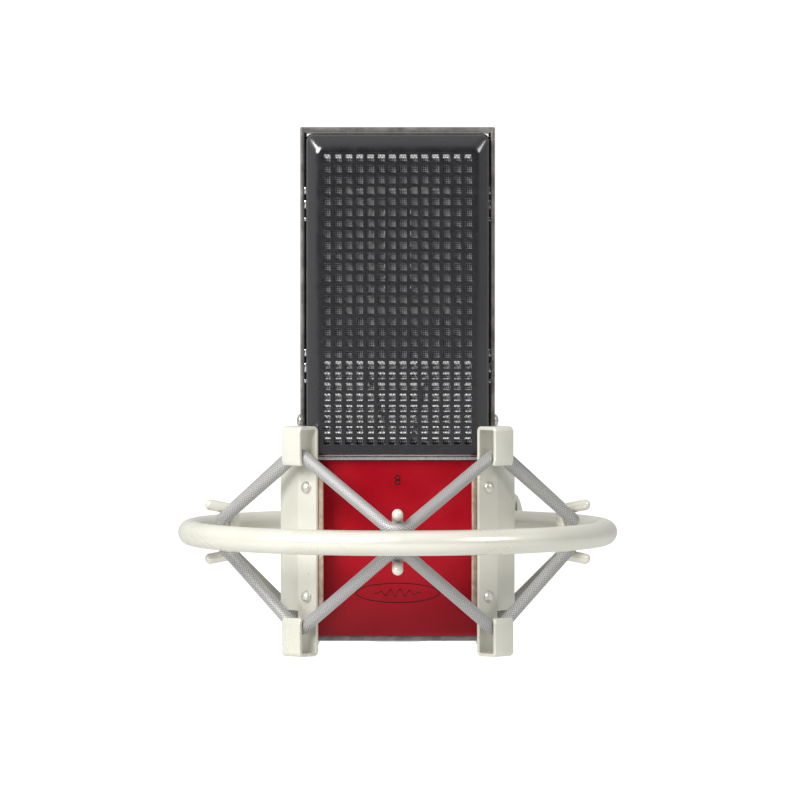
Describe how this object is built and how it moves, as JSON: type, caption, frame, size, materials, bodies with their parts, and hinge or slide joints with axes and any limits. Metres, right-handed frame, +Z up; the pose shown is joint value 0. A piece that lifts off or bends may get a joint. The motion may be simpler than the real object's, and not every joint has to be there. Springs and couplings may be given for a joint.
{
  "type": "ribbon microphone",
  "caption": "Flat side-address ribbon microphone with black perforated grilles and red lower panels, hung by elastic cord in a round wire shock mount on a tilting stand joint.",
  "frame": {"origin": "on the microphone's own axis, at the face of the cable socket's insulator; the plane of the shock ring is 15 mm above it", "axes": "+Z up along the microphone, -Y towards the front grille, +X to the right seen from the front"},
  "size_m": [0.1206, 0.147, 0.145],
  "materials": {
    "mount_paint": "champagne pearl lacquer",
    "brass": "plain",
    "steel": "bright",
    "black_plastic": "moulded",
    "elastic_cord": "braided sleeve",
    "felt": "felt",
    "dark_nickel": "dark satin",
    "black_lacquer": "gloss",
    "silver_mesh": "woven",
    "red_lacquer": "satin",
    "chrome": "polished",
    "dark_plate": "matt",
    "magnet_steel": "ground",
    "ribbon_foil": "corrugated foil",
    "coil": "enamelled wire",
    "wire": "insulated"
  },
  "bodies": {
    "stand": {"stand_adapter": "mount_paint", "thread_reducer": "brass", "pivot_bolt": "steel", "left_washer": "black_plastic", "right_washer": "black_plastic"},
    "knob": {"clamp_knob": "mount_paint"},
    "ring": {"shock_ring": "mount_paint", "ring_lug": "mount_paint", "upper_cord": "elastic_cord", "lower_cord": "elastic_cord"},
    "cradle": {"left_bracket": "mount_paint", "right_bracket": "mount_paint", "rear_strap": "mount_paint", "front_left_pad": "felt", "front_right_pad": "felt", "rear_left_pad": "felt", "rear_right_pad": "felt", "front_upper_left_screw": "steel", "front_upper_right_screw": "steel", "front_lower_left_screw": "steel", "front_lower_right_screw": "steel", "rear_left_screw": "steel", "rear_right_screw": "steel"},
    "microphone": {"perimeter_frame": "dark_nickel", "bottom_plate": "dark_nickel", "front_grille_cover": "black_lacquer", "rear_grille_cover": "black_lacquer", "front_mesh": "silver_mesh", "rear_mesh": "silver_mesh", "front_panel": "red_lacquer", "rear_panel": "red_lacquer", "front_trim": "chrome", "rear_trim": "chrome", "left_side_screw": "steel", "right_side_screw": "steel", "left_panel_screw": "steel", "right_panel_screw": "steel", "socket_screw": "steel", "socket_shell": "chrome", "socket_insulator": "black_plastic", "socket_pin_1": "brass", "socket_pin_2": "brass", "socket_pin_3": "brass", "motor_plate": "dark_plate", "left_magnet": "magnet_steel", "centre_magnet": "magnet_steel", "right_magnet": "magnet_steel", "magnet_yoke": "steel", "left_ribbon": "ribbon_foil", "right_ribbon": "ribbon_foil", "top_clamp": "brass", "bottom_clamp": "brass", "top_clamp_screw": "steel", "bottom_clamp_screw": "steel", "bulkhead": "dark_plate", "transformer_core": "magnet_steel", "transformer_coil": "coil", "transformer_bracket": "steel", "left_lead": "wire", "right_lead": "wire"}
  },
  "joints": [
    {"name": "tilt", "type": "hinge", "parent": "stand", "child": "ring", "pos_m": [0, 0.074, 0.015], "axis": [1, 0, 0], "range_deg": [-90, 35]},
    {"name": "knob_turn", "type": "hinge", "parent": "stand", "child": "knob", "pos_m": [0.028, 0.074, 0.015], "axis": [1, 0, 0], "range_deg": [-180, 180]},
    {"name": "suspension", "type": "slide", "parent": "ring", "child": "cradle", "axis": [0, 0, 1], "range_m": [-0.003, 0.003], "stiffness_N_per_m": 4000, "springref_m": 0.0012, "deforming": ["upper_cord", "lower_cord"]},
    {"name": "lift_out", "type": "slide", "parent": "cradle", "child": "microphone", "axis": [0, 0, 1], "range_m": [0, 0.065]}
  ]
}
